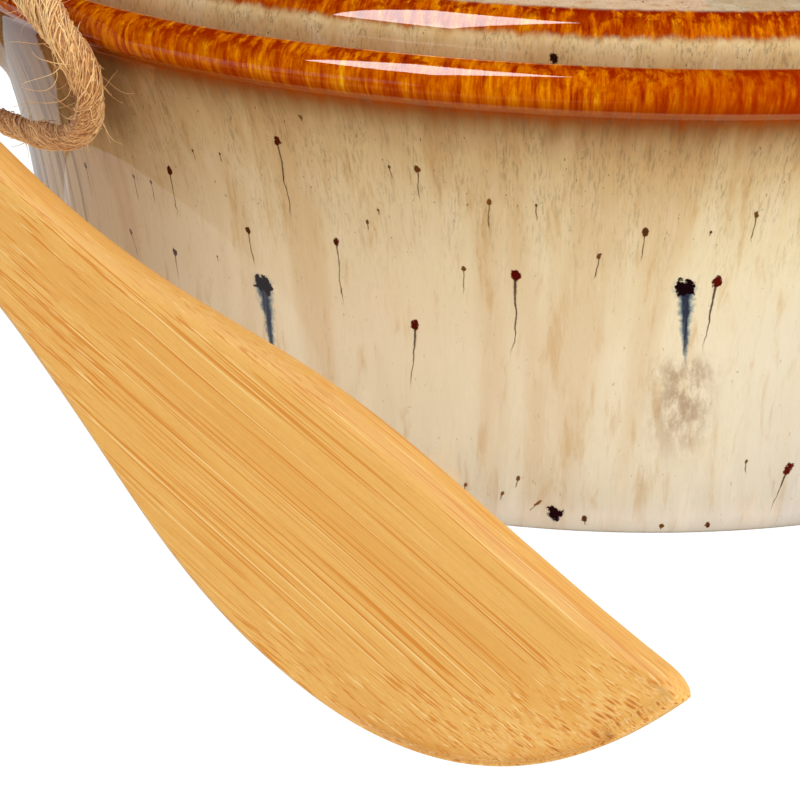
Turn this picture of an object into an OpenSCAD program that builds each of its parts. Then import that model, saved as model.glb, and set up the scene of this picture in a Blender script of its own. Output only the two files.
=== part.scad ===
// Lidded stoneware butter crock with a bamboo spreader tied to one lug by jute twine.
// Millimetres, +Z up. The origin is the middle of the crock's flat underside.
// The lugs stand on the X axis and the spreader leans at the front, -Y.

/* [Crock] */
// Outer radius of the wall just above its rounded foot
foot_r = 68.6; // [66:0.1:70]
// Outer radius of the wall where it meets the rim bead
flare_r = 77.6; // [77:0.1:78]
// Height of the middle of the rim bead
bead_z = 49; // [48.6:0.1:49.4]
// Radius of the rolled rim bead
bead_r = 2.2; // [1.9:0.1:2.4]
// Thickness of the floor
floor_t = 6.5; // [5:0.5:8]
// Height of the ledge that the lid rests on
seat_z = 46.5; // [46.5:0.1:46.8]

/* [Lugs] */
// Height of the middle of the lug bars
lug_z = 42; // [41:0.5:42]
// Radius of the bar that each lug is bent from
lug_bar_r = 4.25; // [4:0.05:4.3]
// Radius of the lug's bend, to the middle of the bar
lug_bend_r = 13; // [12.5:0.5:13]

/* [Lid] */
// Gap all round between the lid and the inside of the rim
lid_gap = 0.5; // [0.3:0.1:1]
// Height of the lid's upper edge above the table
lid_top_z = 55; // [54:0.5:56]
// Width of the lid's soft rounded upper edge
lid_edge_w = 3; // [2:0.1:3.2]
// Widest radius of the knob
knob_r = 14.5; // [12:0.5:17]
// Height of the knob above the lid's edge
knob_h = 24; // [20:1:28]

/* [Spreader] */
// Half the width of the handle
grip_half_w = 7; // [6.5:0.1:7.2]
// Half the width of the neck between the handle and the blade
neck_half_w = 4.8; // [4.4:0.1:5.2]
// Depth of the blade's curved belly below the middle line
belly_d = 16.3; // [15.5:0.1:16.5]
// Length from the hole in the handle to the tip of the blade
reach = 141.5; // [140:0.5:142]
// Thickness of the handle
grip_t = 5; // [4:0.5:5]
// Thickness of the blade before its bevelled end
blade_t = 3.4; // [3:0.1:4]
// Diameter of the hole in the handle
hole_d = 5.6; // [5:0.1:6]

/* [Twine] */
// Diameter of the jute twine
twine_d = 3.2; // [2.8:0.1:3.2]

/* [Hidden] */
$fn = 96;

// Crock
wall_foot = [foot_r - 3.1, 0];
foot_round = 3;
bead_ring_r = flare_r - 0.8;
rim_in_r = bead_ring_r - bead_r - 1.2;
seat_in_r = rim_in_r - 4;
lug_mid_x = 83;
lug_root_x = 70;

// Lid
lid_r = rim_in_r - lid_gap;
flange_r = seat_in_r - 0.6;
flange_t = 4.2;
flange_z = seat_z - 5;
lid_under_z = 50;
knob_z = lid_top_z + knob_h;

// Spreader: where the hole's middle is, and how the flat of the handle is turned
hitch = [-103, -21, 51];
spreader_yaw = -45;
spreader_lean = 12;
spreader_drop = -18.5;
grip_end_r = 8;

// Twine: the knot stands beside the lug's bar, and the twine starts and ends on its flat ends
knot_at = [-104, 3, 44];
knot_len = 6;
knot_r = 3.2;
twine_sides = 8;
twine_route = [
    [-104, 3, 47], [-104, 3, 50], [-105, 1, 55], [-107, -5, 58.5], [-110, -12, 59.5],
    [-112.5, -18.5, 58.5], [-112, -24.5, 55.5], [-107.5, -25.5, 52.5], [-104, -22, 51.3], [-99.5, -17.5, 50],
    [-92, -19, 45], [-85, -22.5, 41], [-78, -26, 37.5], [-72, -30, 35], [-68.5, -36, 35],
    [-65.5, -41, 35.5], [-62.5, -46, 36.5], [-60.5, -50, 38.5], [-59.5, -52.5, 41], [-59.5, -54, 44],
    [-60.5, -54.5, 47], [-63, -52, 50], [-66, -46.5, 52.5], [-69.5, -40, 54], [-74, -31.5, 54.5],
    [-79, -22.5, 53.5], [-83.5, -14, 50.5], [-86, -7.5, 46], [-88, -3, 41], [-91.5, 0.5, 36.5],
    [-97, 2.5, 35], [-101.5, 3, 35.6], [-104, 3, 38.5], [-104, 3, 41]
];

// A point on a cubic Bezier curve
function bezier(p, t) =
    p[0] * pow(1 - t, 3) + 3 * p[1] * t * pow(1 - t, 2) + 3 * p[2] * t * t * (1 - t) + p[3] * pow(t, 3);

// The points of a Bezier curve in steps, without its last point
function curve(p, steps) = [for (i = [0 : steps - 1]) bezier(p, i / steps)];

// The points of an arc about c from angle a to angle b, both ends included
function arc(c, r, a, b, steps) =
    [for (i = [0 : steps]) c + r * [cos(a + (b - a) * i / steps), sin(a + (b - a) * i / steps)]];

// A unit vector
function unit(v) = v / norm(v);

// Glazed body: flat foot, flaring wall, inner ledge and floor, before its bead and lugs
module crock_shell() {
    outer = concat(
        arc([foot_r - foot_round, foot_round], foot_round, -90, 0, 6),
        curve([[foot_r, foot_round], [foot_r + 0.6, 22], [71, 35], [flare_r, bead_z - 1.5]], 14),
        [[flare_r, bead_z - 1.5]]
    );
    inner = concat(
        [[rim_in_r, bead_z], [rim_in_r, seat_z], [seat_in_r, seat_z]],
        curve([[seat_in_r, seat_z - 4], [66.5, 36], [64.5, 24], [63.6, 16]], 10),
        curve([[63.6, 16], [63, 8], [58, floor_t], [48, floor_t]], 8),
        [[48, floor_t], [0, floor_t], [0, 0]]
    );
    rotate_extrude()
        polygon(concat(outer, [[bead_ring_r, bead_z]], inner));
}

// Rolled bead round the rim
module rim_bead() {
    translate([0, 0, bead_z])
        rotate_extrude()
            translate([bead_ring_r, 0])
                circle(r = bead_r);
}

// One lug: a bar bent to a U, with both legs run into the wall
module lug() {
    translate([lug_mid_x, 0, lug_z]) {
        rotate([0, 0, -90])
            rotate_extrude(angle = 180)
                translate([lug_bend_r, 0])
                    circle(r = lug_bar_r);
        for (side = [-1, 1])
            translate([0, side * lug_bend_r, 0])
                rotate([0, -90, 0])
                    cylinder(r = lug_bar_r, h = lug_mid_x - lug_root_x);
    }
}

module crock() {
    color("wheat")
        union() {
            crock_shell();
            rim_bead();
            lug();
            mirror([1, 0, 0])
                lug();
        }
}

// Lid with its locating flange below and its knob above, one piece of stoneware
module lid() {
    under = [
        [0, lid_under_z], [56, lid_under_z], [flange_r - flange_t, lid_under_z - 4],
        [flange_r - flange_t, flange_z], [flange_r, flange_z], [flange_r, seat_z], [lid_r, seat_z]
    ];
    edge = curve([[lid_r, lid_top_z - 1.2 * lid_edge_w], [lid_r, lid_top_z - 0.6 * lid_edge_w],
                  [lid_r - 0.5 * lid_edge_w, lid_top_z], [lid_r - lid_edge_w, lid_top_z]], 8);
    top = curve([[lid_r - lid_edge_w, lid_top_z], [52, lid_top_z + 0.6], [24, lid_top_z + 3.5],
                 [13, lid_top_z + 5]], 10);
    neck = curve([[13, lid_top_z + 5], [9, lid_top_z + 6], [8, lid_top_z + 11],
                  [knob_r - 2, lid_top_z + 15]], 8);
    crown = curve([[knob_r - 2, lid_top_z + 15], [knob_r + 2, lid_top_z + 17.5],
                   [knob_r, knob_z - 0.5], [0, knob_z]], 12);
    color("burlywood")
        rotate_extrude()
            polygon(concat(under, edge, top, neck, crown, [[0, knob_z]]));
}

// Outline of the spreader, from the hole at [0, 0] towards the tip at +X
module spreader_outline() {
    back = concat(
        curve([[14, grip_half_w], [30, grip_half_w], [40, neck_half_w + 0.8], [56, neck_half_w]], 8),
        curve([[56, neck_half_w], [80, 3.6], [89.5, 8.6], [108, 8.6]], 10),
        curve([[108, 8.6], [118, 8.6], [128, 7.9], [reach - 3, 8.2]], 5),
        [[reach - 1, 7.9], [reach, 7.2]]
    );
    belly = concat(
        curve([[reach, 7.2], [reach - 4.8, -5], [127, -belly_d], [104, -belly_d]], 12),
        curve([[104, -belly_d], [86.3, -belly_d], [72.6, -7.9], [50, -neck_half_w - 1.6]], 10),
        curve([
            [50, -neck_half_w - 1.6], [38, -neck_half_w - 0.8], [30, -grip_half_w], [14, -grip_half_w]
        ], 8),
        [[14, -grip_half_w]]
    );
    polygon(concat(
        back,
        belly,
        [[3, -grip_half_w]],
        arc([0, 0], grip_end_r, 298, 62, 16),
        [[3, grip_half_w]]
    ));
}

// Side view of the spreader: thick handle, thinner blade and a bevelled end
module spreader_side() {
    polygon([
        [-10, -grip_t / 2], [50, -grip_t / 2], [80, -blade_t / 2], [reach + 2, -blade_t / 2],
        [reach + 2, -blade_t / 2 + 0.8], [reach - 8, blade_t / 2], [80, blade_t / 2],
        [50, grip_t / 2], [-10, grip_t / 2]
    ]);
}

module spreader() {
    color("sandybrown")
        translate(hitch)
            rotate([0, 0, spreader_yaw])
                rotate([90 - spreader_lean, 0, 0])
                    rotate([0, 0, spreader_drop])
                        difference() {
                            intersection() {
                                translate([0, 0, -grip_t])
                                    linear_extrude(2 * grip_t)
                                        spreader_outline();
                                translate([0, 2 * belly_d, 0])
                                    rotate([90, 0, 0])
                                        linear_extrude(4 * belly_d)
                                            spreader_side();
                            }
                            cylinder(d = hole_d, h = 3 * grip_t, center = true);
                        }
}

// A round tube along a route of points, swept with its frame carried from ring to ring
module tube(route, d, sides) {
    n = len(route);
    along = [for (i = [0 : n - 1]) unit(route[min(i + 1, n - 1)] - route[max(i - 1, 0)])];
    function carried(i, v) = i == n ? [] :
        let (w = unit(v - (v * along[i]) * along[i]))
        concat([w], carried(i + 1, w));
    across = carried(0, [0, 0.3, 1]);
    points = [
        for (i = [0 : n - 1])
            for (k = [0 : sides - 1])
                let (a = 360 * k / sides)
                route[i] + d / 2 * (cos(a) * across[i] + sin(a) * cross(along[i], across[i]))
    ];
    sides_faces = [
        for (i = [0 : n - 2])
            for (k = [0 : sides - 1])
                let (m = (k + 1) % sides)
                [i * sides + k, (i + 1) * sides + k, (i + 1) * sides + m, i * sides + m]
    ];
    first = [for (k = [0 : sides - 1]) k];
    last = [for (k = [sides - 1 : -1 : 0]) (n - 1) * sides + k];
    polyhedron(points, concat(sides_faces, [first, last]), convexity = 8);
}

module twine() {
    color("peru")
        tube(twine_route, twine_d, twine_sides);
}

// The knot that closes the twine's loop, a stub with rounded shoulders
module twine_knot() {
    color("peru")
        translate(knot_at)
            rotate_extrude()
                polygon([
                    [0, -knot_len / 2], [knot_r - 0.8, -knot_len / 2], [knot_r, -knot_len / 2 + 1],
                    [knot_r, knot_len / 2 - 1], [knot_r - 0.8, knot_len / 2], [0, knot_len / 2]
                ]);
}

crock();
lid();
spreader();
twine();
twine_knot();
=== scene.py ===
"""Lidded stoneware butter crock with a bamboo spreader tied to one lug by jute twine.

The shapes are in millimetres, in the frame of the CAD model, and turned into metres when a mesh
is made. +Z is up, the lugs stand on the X axis and the front is -Y.
"""

import math
from math import cos, pi, radians, sin

import bmesh
import bpy
import numpy as np
from mathutils import Matrix, Vector, noise
from mathutils.kdtree import KDTree


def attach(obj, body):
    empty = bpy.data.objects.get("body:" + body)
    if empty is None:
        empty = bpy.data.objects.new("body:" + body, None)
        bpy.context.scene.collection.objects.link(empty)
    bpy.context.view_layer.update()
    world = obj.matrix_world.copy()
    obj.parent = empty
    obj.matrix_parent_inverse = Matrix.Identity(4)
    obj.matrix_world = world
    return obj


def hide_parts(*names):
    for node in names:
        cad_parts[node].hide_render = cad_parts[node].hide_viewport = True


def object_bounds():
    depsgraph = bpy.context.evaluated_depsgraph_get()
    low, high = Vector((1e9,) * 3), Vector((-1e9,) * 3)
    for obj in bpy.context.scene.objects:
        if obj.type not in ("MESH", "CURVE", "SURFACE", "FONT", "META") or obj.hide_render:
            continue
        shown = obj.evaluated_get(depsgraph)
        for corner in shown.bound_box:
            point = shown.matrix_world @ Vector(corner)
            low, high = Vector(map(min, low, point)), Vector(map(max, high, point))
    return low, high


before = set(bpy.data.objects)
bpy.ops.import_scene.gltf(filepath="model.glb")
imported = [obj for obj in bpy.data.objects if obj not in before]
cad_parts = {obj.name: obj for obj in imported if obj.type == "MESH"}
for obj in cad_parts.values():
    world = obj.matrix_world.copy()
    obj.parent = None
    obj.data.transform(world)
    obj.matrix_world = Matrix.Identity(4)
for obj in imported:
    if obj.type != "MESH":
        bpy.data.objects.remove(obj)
cad_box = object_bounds()

MM = 0.001
joined = np.concatenate
SCENE = bpy.context.scene


# ---- camera and stage


CAMERA_AT = (-46.2, -261.8, 96.1)
CAMERA_TURN = (4.96, 22.4, 1.14)
LENS, SENSOR = 96.1, 36


def add_camera():
    """The camera, turned by yaw towards +X, pitch downwards and roll."""
    yaw, pitch, roll = (radians(a) for a in CAMERA_TURN)
    ahead = Vector((sin(yaw) * cos(pitch), cos(yaw) * cos(pitch), -sin(pitch)))
    level = Vector((cos(yaw), -sin(yaw), 0))
    above = level.cross(ahead)
    right = cos(roll) * level + sin(roll) * above
    top = cos(roll) * above - sin(roll) * level
    turn = Matrix((right, top, -ahead)).transposed().to_4x4()
    data = bpy.data.cameras.new("camera")
    data.lens, data.sensor_width = LENS, SENSOR
    data.clip_start = 0.01
    camera = bpy.data.objects.new("camera", data)
    camera.matrix_world = Matrix.Translation(Vector(CAMERA_AT) * MM) @ turn
    SCENE.collection.objects.link(camera)
    SCENE.camera = camera


add_camera()


# ---- mesh helpers

def smoothstep(x, low, high):
    t = np.clip((np.asarray(x, float) - low) / (high - low), 0, 1)
    return t * t * (3 - 2 * t)


def bezier(p, steps):
    """Points of a cubic Bezier curve, without its last one."""
    a, b, c, d = (np.array(q, float) for q in p)
    t = np.linspace(0, 1, steps, endpoint=False)[:, None]
    return a * (1 - t) ** 3 + 3 * b * t * (1 - t) ** 2 + 3 * c * t * t * (1 - t) + d * t**3


def arc(centre, radius, start, stop, steps):
    """Points of an arc, both ends included; the angles are in degrees."""
    a = np.radians(np.linspace(start, stop, steps))
    return np.array(centre, float) + radius * np.stack([np.cos(a), np.sin(a)], 1)


def lengths_along(points):
    """How far along a line of points each of them is."""
    return joined([[0], np.cumsum(np.linalg.norm(np.diff(points, axis=0), axis=1))])


def resample(points, spacing):
    """Points along a line of points; spacing(point) is how far apart they stand there."""
    points = np.array(points, float)
    at = lengths_along(points)
    out, s = [], 0.0
    while s < at[-1]:
        p = np.array([np.interp(s, at, points[:, k]) for k in range(points.shape[1])])
        out.append(p)
        s += spacing(p)
    if np.linalg.norm(out[-1] - points[-1]) < 0.4 * spacing(points[-1]):
        out.pop()
    out.append(points[-1])
    return np.array(out)


def relax(points, times):
    """Softens the corners of a line of points; its ends stay."""
    points = points.copy()
    for _ in range(times):
        points[1:-1] += 0.5 * (0.5 * (points[:-2] + points[2:]) - points[1:-1])
    return points


def nearest(points):
    """Finds the nearest of the flat points, and how far it is."""
    tree = KDTree(len(points))
    for i, p in enumerate(points):
        tree.insert((p[0], p[1], 0), i)
    tree.balance()
    return tree


def add_mesh(name, verts, faces, material=None):
    """A smooth-shaded object from points in millimetres."""
    mesh = bpy.data.meshes.new(name)
    points = [tuple(v) for v in np.asarray(verts, float) * MM]
    mesh.from_pydata(points, [], [tuple(map(int, f)) for f in faces])
    mesh.validate()
    mesh.polygons.foreach_set("use_smooth", [True] * len(mesh.polygons))
    mesh.update()
    piece = bpy.data.objects.new(name, mesh)
    SCENE.collection.objects.link(piece)
    if material:
        mesh.materials.append(material)
    return piece


def skin(rings, around):
    """Faces over rings of points that follow each other, closed by one point at each end."""
    last = (rings - 1) * around
    faces = []
    for k in range(around):
        j = (k + 1) % around
        faces += [(i + k, i + j, i + around + j, i + around + k) for i in range(0, last, around)]
        faces.append((last + around, j, k))
        faces.append((last + around + 1, last + k, last + j))
    return faces


def lathe(profile, angles):
    """Vertices and faces of a profile of (radius, height) turned about Z; its ends are on the axis."""
    inner = profile[1:-1]
    ring = np.stack([np.cos(angles), np.sin(angles)], 1)
    verts = joined([
        joined([r * ring, np.full((len(ring), 1), z)], 1) for r, z in inner
    ] + [[[0, 0, profile[0][1]], [0, 0, profile[-1][1]]]])
    return verts, skin(len(inner), len(ring))


def carried_frames(path):
    """Two directions across a path at each of its points, carried along without twisting."""
    along = np.gradient(path, axis=0)
    along /= np.linalg.norm(along, axis=1)[:, None]
    side = np.cross(along[0], [0.3, 0.1, 1.0])
    if np.linalg.norm(side) < 0.1:
        side = np.cross(along[0], [1.0, 0, 0])
    sides = []
    for a in along:
        side = side - side.dot(a) * a
        side = side / np.linalg.norm(side)
        sides.append(side)
    sides = np.array(sides)
    return along, sides, np.cross(along, sides)


def tube(path, radius, around):
    """Vertices and faces of a closed round tube; radius(i, angles) gives each ring's radii."""
    _, u, v = carried_frames(path)
    angles = np.arange(around) * 2 * pi / around
    verts = []
    for i, p in enumerate(path):
        r = np.broadcast_to(radius(i, angles), angles.shape)[:, None]
        verts.append(p + r * (np.cos(angles)[:, None] * u[i] + np.sin(angles)[:, None] * v[i]))
    return joined(verts + [path[:1], path[-1:]]), skin(len(path), around)


def together(parts):
    """The vertices and faces of several parts as one."""
    verts, faces, start = [], [], 0
    for v, f in parts:
        verts.append(v)
        faces += [tuple(i + start for i in face) for face in f]
        start += len(v)
    return joined(verts), faces


def boolean(piece, other, operation, material):
    """Joins other to piece, or cuts it out of it, and removes other. The result has one material."""
    modifier = piece.modifiers.new("boolean", "BOOLEAN")
    modifier.operation = operation
    modifier.object = other
    modifier.solver = "EXACT"
    bpy.context.view_layer.update()
    shape = bpy.data.meshes.new_from_object(piece.evaluated_get(bpy.context.evaluated_depsgraph_get()))
    piece.modifiers.clear()
    piece.data = shape
    bpy.data.objects.remove(other)
    cleaner = bmesh.new()
    cleaner.from_mesh(shape)
    bmesh.ops.remove_doubles(cleaner, verts=cleaner.verts, dist=0.02 * MM)
    bmesh.ops.dissolve_degenerate(cleaner, edges=cleaner.edges, dist=0.005 * MM)
    cleaner.to_mesh(shape)
    cleaner.free()
    shape.polygons.foreach_set("use_smooth", [True] * len(shape.polygons))
    shape.materials.clear()
    shape.materials.append(material)


# ---- material helpers

def rgb(r, g, b):
    """A colour given as 0 to 255 values, as the shaders want it."""
    def linear(c):
        c /= 255
        return c / 12.92 if c <= 0.04045 else ((c + 0.055) / 1.055) ** 2.4

    return (linear(r), linear(g), linear(b), 1.0)


class Shading:
    """One material's node tree, with short calls for the nodes that it uses."""

    def __init__(self, name):
        self.material = bpy.data.materials.new(name)
        self.material.use_nodes = True
        self.tree = self.material.node_tree
        self.tree.nodes.clear()
        self.mm = self.vector("SCALE", self.node("ShaderNodeTexCoord").outputs["Object"], scale=1 / MM)
        self.colour = None

    def node(self, kind, **settings):
        made = self.tree.nodes.new(kind)
        for key, value in settings.items():
            setattr(made, key, value)
        return made

    def put(self, value, socket):
        if isinstance(value, bpy.types.NodeSocket):
            self.tree.links.new(value, socket)
        else:
            socket.default_value = value

    def math(self, operation, a, b=0.0, c=0.0):
        made = self.node("ShaderNodeMath", operation=operation)
        for value, socket in zip((a, b, c), made.inputs):
            self.put(value, socket)
        return made.outputs[0]

    def times(self, first, *others):
        for other in others:
            first = self.math("MULTIPLY", first, other)
        return first

    def plus(self, a, b):
        return self.math("ADD", a, b)

    def minus(self, a, b):
        return self.math("SUBTRACT", a, b)

    def over(self, a, b):
        return self.math("DIVIDE", a, b)

    def linear(self, value, slope, start):
        return self.math("MULTIPLY_ADD", value, slope, start)

    def vector(self, operation, a, b=(0, 0, 0), scale=1.0):
        made = self.node("ShaderNodeVectorMath", operation=operation)
        for value, number in ((a, 0), (b, 1), (scale, 3)):
            self.put(value, made.inputs[number])
        return made.outputs["Value" if operation in ("LENGTH", "DISTANCE", "DOT_PRODUCT") else "Vector"]

    def split(self, vector):
        return self.node_out("ShaderNodeSeparateXYZ", vector)

    def node_out(self, kind, *inputs):
        made = self.node(kind)
        for value, socket in zip(inputs, made.inputs):
            self.put(value, socket)
        return list(made.outputs)

    def join(self, x, y, z):
        return self.node_out("ShaderNodeCombineXYZ", x, y, z)[0]

    def facing(self, way, azimuth):
        """The cosine of the angle between a level direction and an azimuth in degrees."""
        a = radians(azimuth)
        return self.vector("DOT_PRODUCT", way, (cos(a), sin(a), 0))

    def step(self, value, low, high, top=1.0):
        """0 at low and top at high, softly; low may be the larger."""
        made = self.node("ShaderNodeMapRange", interpolation_type="SMOOTHSTEP")
        self.put(value, made.inputs["Value"])
        ends = (low, high, 0.0, top) if low < high else (high, low, top, 0.0)
        for end, key in zip(ends, ("From Min", "From Max", "To Min", "To Max")):
            self.put(end, made.inputs[key])
        return made.outputs[0]

    def mix(self, amount, a, b, blend="MIX"):
        made = self.node("ShaderNodeMix", data_type="RGBA", blend_type=blend)
        for value, key in ((amount, "Factor"), (a, 6), (b, 7)):
            self.put(value, made.inputs[key])
        return made.outputs[2]

    def paint(self, amount, *colour):
        """Lays a colour, as a socket or as three numbers, over what the surface has so far."""
        self.colour = self.mix(amount, self.colour, rgb(*colour) if len(colour) == 3 else colour[0])

    def tinted(self, colour, *tint):
        return self.mix(1.0, colour, rgb(*tint), "MULTIPLY")

    def ramp(self, value, stops):
        """A colour that follows value through (position, colour) stops."""
        low, high = stops[0][0], stops[-1][0]
        made = self.node("ShaderNodeValToRGB")
        self.put(self.over(self.minus(value, low), high - low), made.inputs[0])
        marks = made.color_ramp.elements
        while len(marks) < len(stops):
            marks.new(1.0)
        for mark, (position, colour) in zip(marks, stops):
            mark.position = (position - low) / (high - low)
            mark.color = rgb(*colour)
        return made.outputs[0]

    def noise(self, vector, scale, detail=2.0, roughness=0.5, distortion=0.0):
        made = self.node("ShaderNodeTexNoise")
        for value, key in ((vector, "Vector"), (scale, "Scale"), (detail, "Detail"),
                           (roughness, "Roughness"), (distortion, "Distortion")):
            self.put(value, made.inputs[key])
        return made.outputs[0]

    def cells(self, vector, scale):
        """Distance to the nearest cell's middle, and the cell's random colour."""
        made = self.node("ShaderNodeTexVoronoi")
        self.put(vector, made.inputs["Vector"])
        self.put(scale, made.inputs["Scale"])
        return made.outputs["Distance"], made.outputs["Color"]

    def random(self, vector):
        made = self.node("ShaderNodeTexWhiteNoise", noise_dimensions="3D")
        self.put(vector, made.inputs["Vector"])
        return made.outputs["Value"], made.outputs["Color"]

    def finish(self, roughness, relief=None, strength=0.6, **constants):
        """The surface shader, with relief as a height in millimetres."""
        shader = self.node("ShaderNodeBsdfPrincipled")
        self.put(self.colour, shader.inputs["Base Color"])
        self.put(roughness, shader.inputs["Roughness"])
        for key, value in constants.items():
            shader.inputs[key.replace("_", " ")].default_value = value
        if relief is not None:
            bump = self.node("ShaderNodeBump")
            bump.inputs["Strength"].default_value = strength
            bump.inputs["Distance"].default_value = MM
            self.put(relief, bump.inputs["Height"])
            self.put(bump.outputs[0], shader.inputs["Normal"])
        out = self.node("ShaderNodeOutputMaterial")
        self.put(shader.outputs[0], out.inputs["Surface"])
        return self.material


# ---- glaze

# Drips seen from the front: azimuth in degrees, height of the head, length, head radius, any lean.
# In azimuth order, in two lists so that close neighbours are apart.
DRIPS = [
    (-149, 31, 4, 0.34), (-143.2, 25.2, 3, 0.3, 0.2), (-141, 32.1, 3, 0.22), (-137.2, 24.7, 3.5, 0.36),
    (-135.9, 34.3, 5.5, 0.42, -0.05), (-132.5, 37.4, 1.2, 0.16), (-129.6, 37.8, 1, 0.16),
    (-127.3, 23.9, 9, 0.85, 0.1), (-123.7, 40.6, 9, 0.43), (-119.8, 30.4, 7.4, 0.42, 0.04),
    (-116.9, 33.1, 1, 0.18), (-114.6, 39.5, 1.4, 0.16), (-113.3, 22.4, 7.4, 0.5, -0.08),
    (-109.2, 29.3, 3, 0.28), (-107.1, 36.8, 3.4, 0.28), (-105.1, 29, 9.2, 0.54),
    (-103.6, 36.8, 1.8, 0.14), (-101.2, 2.9, 1, 0.71), (-98.7, 31.7, 2.8, 0.3, -0.12),
    (-95.4, 34.4, 3.4, 0.34, -0.1), (-91.9, 28.4, 8.5, 0.78, 0.11), (-89.5, 29, 8, 0.52, -0.07),
    (-87.3, 36.3, 3.2, 0.3, 0.03), (-85.2, 9, 1.5, 0.2), (-81.4, 7.8, 5, 0.5, -0.33),
]
MORE_DRIPS = [
    (-138.7, 32.2, 2.6, 0.2), (-132, 25.7, 0.6, 0.14), (-128.2, 29.7, 4.2, 0.34, 0.05),
    (-121.1, 43.7, 0.5, 0.2), (-115.9, 34.6, 0.6, 0.15), (-112.4, 39.6, 3.6, 0.32),
    (-108.9, 5.2, 0.8, 0.25), (-105.7, 4.7, 0.8, 0.24), (-104.4, 6.6, 1.2, 0.2),
    (-102.6, 4, 2.4, 0.26, -0.9), (-98.6, 2.4, 0.8, 0.34), (-92, 1.7, 0.5, 0.3),
    (-90.5, 34.5, 0.5, 0.14), (-88, 1.8, 0.5, 0.34),
]
HIGHEST, LONGEST = 50.0, 10.0
MIDDLE_R = 72.0
LID_SPOT = (-16.1, -71.1, 50.8)
# azimuths of what differs round the crock
PLACED_SIDE, HAZE_SIDE, LUG_SIDE, TWINE_SHADOW_SIDE, PALE_SIDE, RED_SIDE = -112, -91.2, -165, -143, -60, -72


def lookup(s, value, marks):
    """Two colours that stay constant between the marks, for numbers kept per mark."""
    outputs = []
    for first in (1, 5):
        made = s.node("ShaderNodeValToRGB")
        made.color_ramp.interpolation = "CONSTANT"
        stops = made.color_ramp.elements
        while len(stops) < len(marks):
            stops.new(1.0)
        for stop, mark in zip(stops, marks):
            stop.position = mark[0]
            stop.color = (*mark[first:first + 3], mark[first + 3])
        s.put(value, made.inputs[0])
        outputs += [*s.node_out("ShaderNodeSeparateColor", made.outputs[0])[:3], made.outputs[1]]
    return outputs


def drip_masks(s, degrees, z, wander, clump, drips):
    """Head, tail and soft halo of the drip nearest in azimuth, and how large it is."""
    low, high = drips[0][0] - 2, drips[-1][0] + 2
    span = high - low
    marks, start = [], 0.0
    for drip, after in zip(drips, drips[1:] + [None]):
        azimuth, top, length, size, lean = (*drip, 0)[:5]
        marks.append((start, (azimuth - low) / span, top / HIGHEST, length / LONGEST, size,
                      (lean + 1) / 2, 0.0, 0.0, 1.0))
        start = ((azimuth + after[0]) / 2 - low) / span if after else 1.0
    at = s.over(s.minus(degrees, low), span)
    centre, top, length, size, lean, *_ = lookup(s, at, marks)
    fall = s.minus(s.times(top, HIGHEST), z)
    part = s.over(fall, s.times(length, LONGEST))
    off = s.times(s.minus(at, centre), span * radians(MIDDLE_R))
    off = s.minus(off, s.times(fall, s.linear(lean, 2, -1)))
    off = s.minus(off, s.times(wander, part, 1.6))
    off = s.math("ABSOLUTE", off)
    # a large head is two lumps side by side
    apart = s.step(size, 0.6, 0.85, 0.38)
    aside = s.math("ABSOLUTE", s.minus(off, apart))
    near = s.vector("LENGTH", s.join(aside, s.times(fall, 0.75), 0))
    near = s.plus(s.over(near, size), s.times(clump, 2))
    head = s.step(near, 1, 0.72)
    run = s.times(s.step(part, -0.02, 0.05), s.step(part, 1, 0.7))
    body = s.times(size, s.linear(s.step(size, 0.5, 0.8), 0.42, 0.22))
    thin = s.times(s.minus(1.1, part), body)
    thin = s.times(thin, s.linear(clump, 1.8, 1))
    edge = s.over(off, s.math("MAXIMUM", thin, 0.055))
    tail = s.times(run, s.step(edge, 1.5, 0.5))
    reach = s.times(s.step(part, -0.15, 0.1), s.step(part, 1.25, 0.6))
    halo = s.times(reach, s.step(edge, 2.5, 0.9))
    return head, tail, halo, size


def scattered_drips(s, way, angle, z, wander, clump, columns, row_h, chance):
    """Masks of small drips strewn over the whole wall: one cell of a grid holds one drip or none."""
    turn = s.times(angle, columns / (2 * pi))
    column = s.math("FLOOR", turn)
    shift, _ = s.random(s.join(column, 3.3, 7.7))
    rise = s.plus(s.over(z, row_h), shift)
    row = s.math("FLOOR", rise)
    here, spread = s.random(s.join(column, row, 1.7))
    r1, r2, r3 = s.split(spread)
    cell_w = 2 * pi * MIDDLE_R / columns
    across = s.times(s.minus(s.math("FRACT", turn), s.linear(r1, 0.6, 0.2)), cell_w)
    down = s.times(s.minus(s.linear(r2, 0.2, 0.72), s.math("FRACT", rise)), row_h)
    length = s.linear(r3, 0.42 * row_h, 0.1 * row_h)
    part = s.over(down, length)
    off = s.math("ABSOLUTE", s.minus(across, s.times(wander, part, 1.4)))
    width = s.linear(r3, 0.3, 0.2)
    near = s.math("POWER", s.plus(s.math("POWER", off, 2), s.math("POWER", down, 2)), 0.5)
    present = s.math("LESS_THAN", here, chance)
    near = s.plus(s.over(near, width), s.times(clump, 2.2))
    head = s.step(near, 1.05, 0.7)
    thin = s.times(s.minus(1.15, part), width, 0.3)
    edge = s.over(off, s.math("MAXIMUM", thin, 0.04))
    tail = s.times(s.step(part, -0.02, 0.05), s.step(part, 1, 0.7), s.step(edge, 1.35, 0.55))
    return s.times(present, head), s.times(present, tail), r3


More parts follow.
